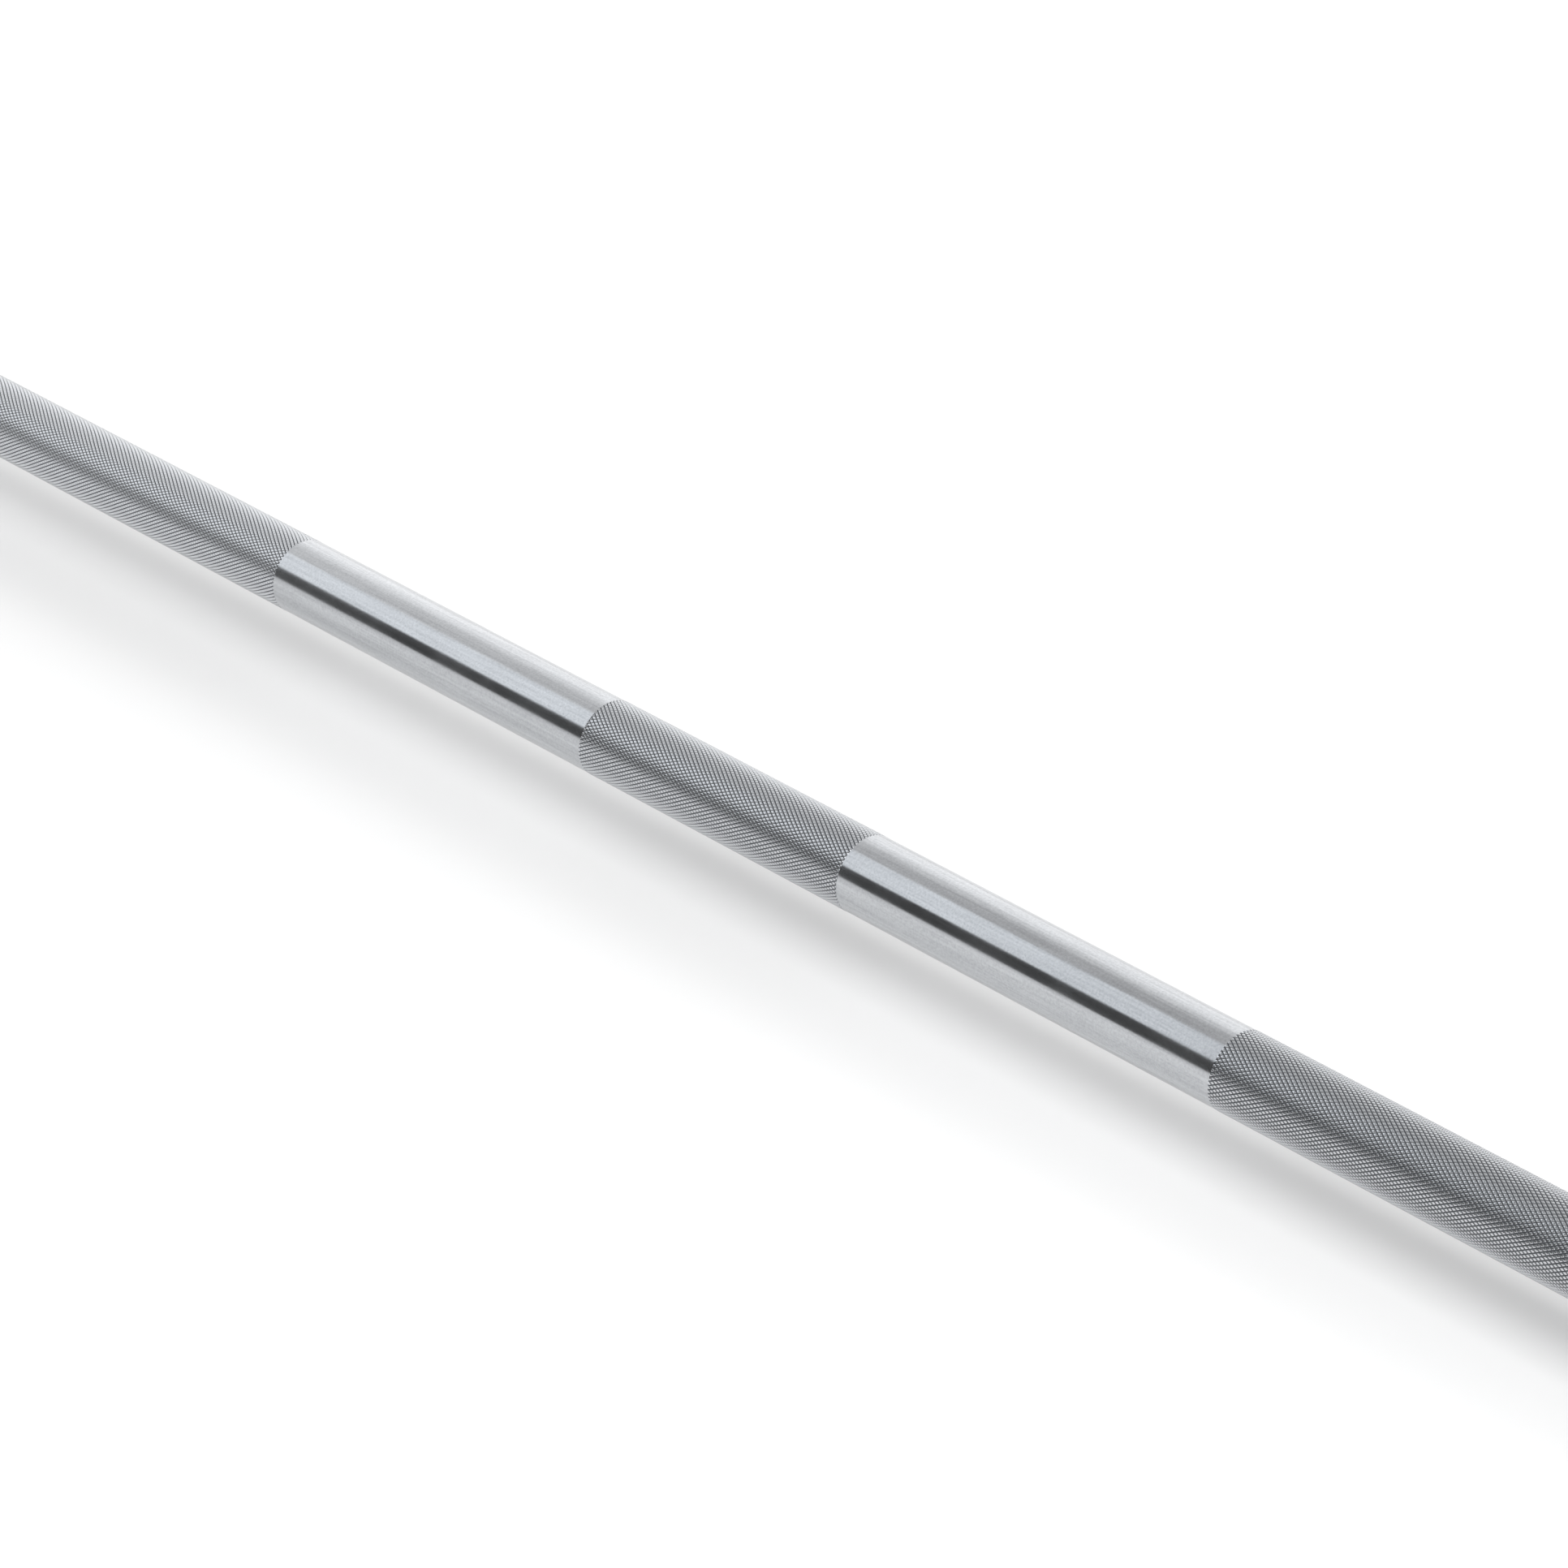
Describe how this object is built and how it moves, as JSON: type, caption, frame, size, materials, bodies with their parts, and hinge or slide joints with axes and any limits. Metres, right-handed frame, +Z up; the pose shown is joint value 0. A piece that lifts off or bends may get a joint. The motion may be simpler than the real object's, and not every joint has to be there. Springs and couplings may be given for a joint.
{
  "type": "olympic barbell",
  "caption": "Straight weightlifting bar: chromed steel shaft with diamond-knurled grips and centre, and free-turning sleeves on bushings and needle bearings that carry weight plates",
  "frame": {"origin": "middle of the shaft, on the bar's axis", "axes": "+X along the bar to its right-hand end, +Z up, -Y the side seen in the picture"},
  "size_m": [2.2, 0.076, 0.076],
  "materials": {
    "shaft_chrome": "ground steel, satin hard chrome",
    "sleeve_chrome": "turned steel, bright chrome",
    "seal_rubber": "moulded nitrile rubber",
    "washer_steel": "hardened and ground steel",
    "bushing_bronze": "turned oil-soaked bronze",
    "bearing_steel": "drawn and ground bearing steel",
    "cage_polymer": "moulded glass-filled polyamide",
    "spring_steel": "phosphated spring steel",
    "cap_aluminium": "turned aluminium, black anodised"
  },
  "bodies": {
    "shaft": {"shaft": "shaft_chrome", "left_inner_thrust_washer": "washer_steel", "left_outer_thrust_washer": "washer_steel", "left_shaft_snap_ring": "spring_steel", "right_inner_thrust_washer": "washer_steel", "right_outer_thrust_washer": "washer_steel", "right_shaft_snap_ring": "spring_steel"},
    "left_sleeve": {"left_sleeve_tube": "sleeve_chrome", "left_sleeve_collar": "sleeve_chrome", "left_dust_seal": "seal_rubber", "left_inner_bushing": "bushing_bronze", "left_outer_bushing": "bushing_bronze", "left_inner_bearing_cup": "bearing_steel", "left_outer_bearing_cup": "bearing_steel", "left_end_cap": "cap_aluminium", "left_end_cap_snap_ring": "spring_steel"},
    "right_sleeve": {"right_sleeve_tube": "sleeve_chrome", "right_sleeve_collar": "sleeve_chrome", "right_dust_seal": "seal_rubber", "right_inner_bushing": "bushing_bronze", "right_outer_bushing": "bushing_bronze", "right_inner_bearing_cup": "bearing_steel", "right_outer_bearing_cup": "bearing_steel", "right_end_cap": "cap_aluminium", "right_end_cap_snap_ring": "spring_steel"},
    "left_inner_needle_set": {"left_inner_bearing_cage": "cage_polymer", "left_inner_bearing_needles": "bearing_steel"},
    "left_outer_needle_set": {"left_outer_bearing_cage": "cage_polymer", "left_outer_bearing_needles": "bearing_steel"},
    "right_inner_needle_set": {"right_inner_bearing_cage": "cage_polymer", "right_inner_bearing_needles": "bearing_steel"},
    "right_outer_needle_set": {"right_outer_bearing_cage": "cage_polymer", "right_outer_bearing_needles": "bearing_steel"}
  },
  "joints": [
    {"name": "left_sleeve_spin", "type": "hinge", "parent": "shaft", "child": "left_sleeve", "pos_m": [-0.8775, 0, 0], "axis": [1, 0, 0], "continuous": true},
    {"name": "right_sleeve_spin", "type": "hinge", "parent": "shaft", "child": "right_sleeve", "pos_m": [0.8775, 0, 0], "axis": [1, 0, 0], "continuous": true},
    {"name": "left_inner_needle_spin", "type": "hinge", "parent": "shaft", "child": "left_inner_needle_set", "pos_m": [-0.70165, 0, 0], "axis": [1, 0, 0], "continuous": true},
    {"name": "left_outer_needle_spin", "type": "hinge", "parent": "shaft", "child": "left_outer_needle_set", "pos_m": [-1.0438, 0, 0], "axis": [1, 0, 0], "continuous": true},
    {"name": "right_inner_needle_spin", "type": "hinge", "parent": "shaft", "child": "right_inner_needle_set", "pos_m": [0.70165, 0, 0], "axis": [1, 0, 0], "continuous": true},
    {"name": "right_outer_needle_spin", "type": "hinge", "parent": "shaft", "child": "right_outer_needle_set", "pos_m": [1.0438, 0, 0], "axis": [1, 0, 0], "continuous": true}
  ],
  "couplings": [
    {"joint": "left_inner_needle_spin", "follows": "left_sleeve_spin", "ratio": 0.54612},
    {"joint": "left_outer_needle_spin", "follows": "left_sleeve_spin", "ratio": 0.54612},
    {"joint": "right_inner_needle_spin", "follows": "right_sleeve_spin", "ratio": 0.54612},
    {"joint": "right_outer_needle_spin", "follows": "right_sleeve_spin", "ratio": 0.54612}
  ]
}
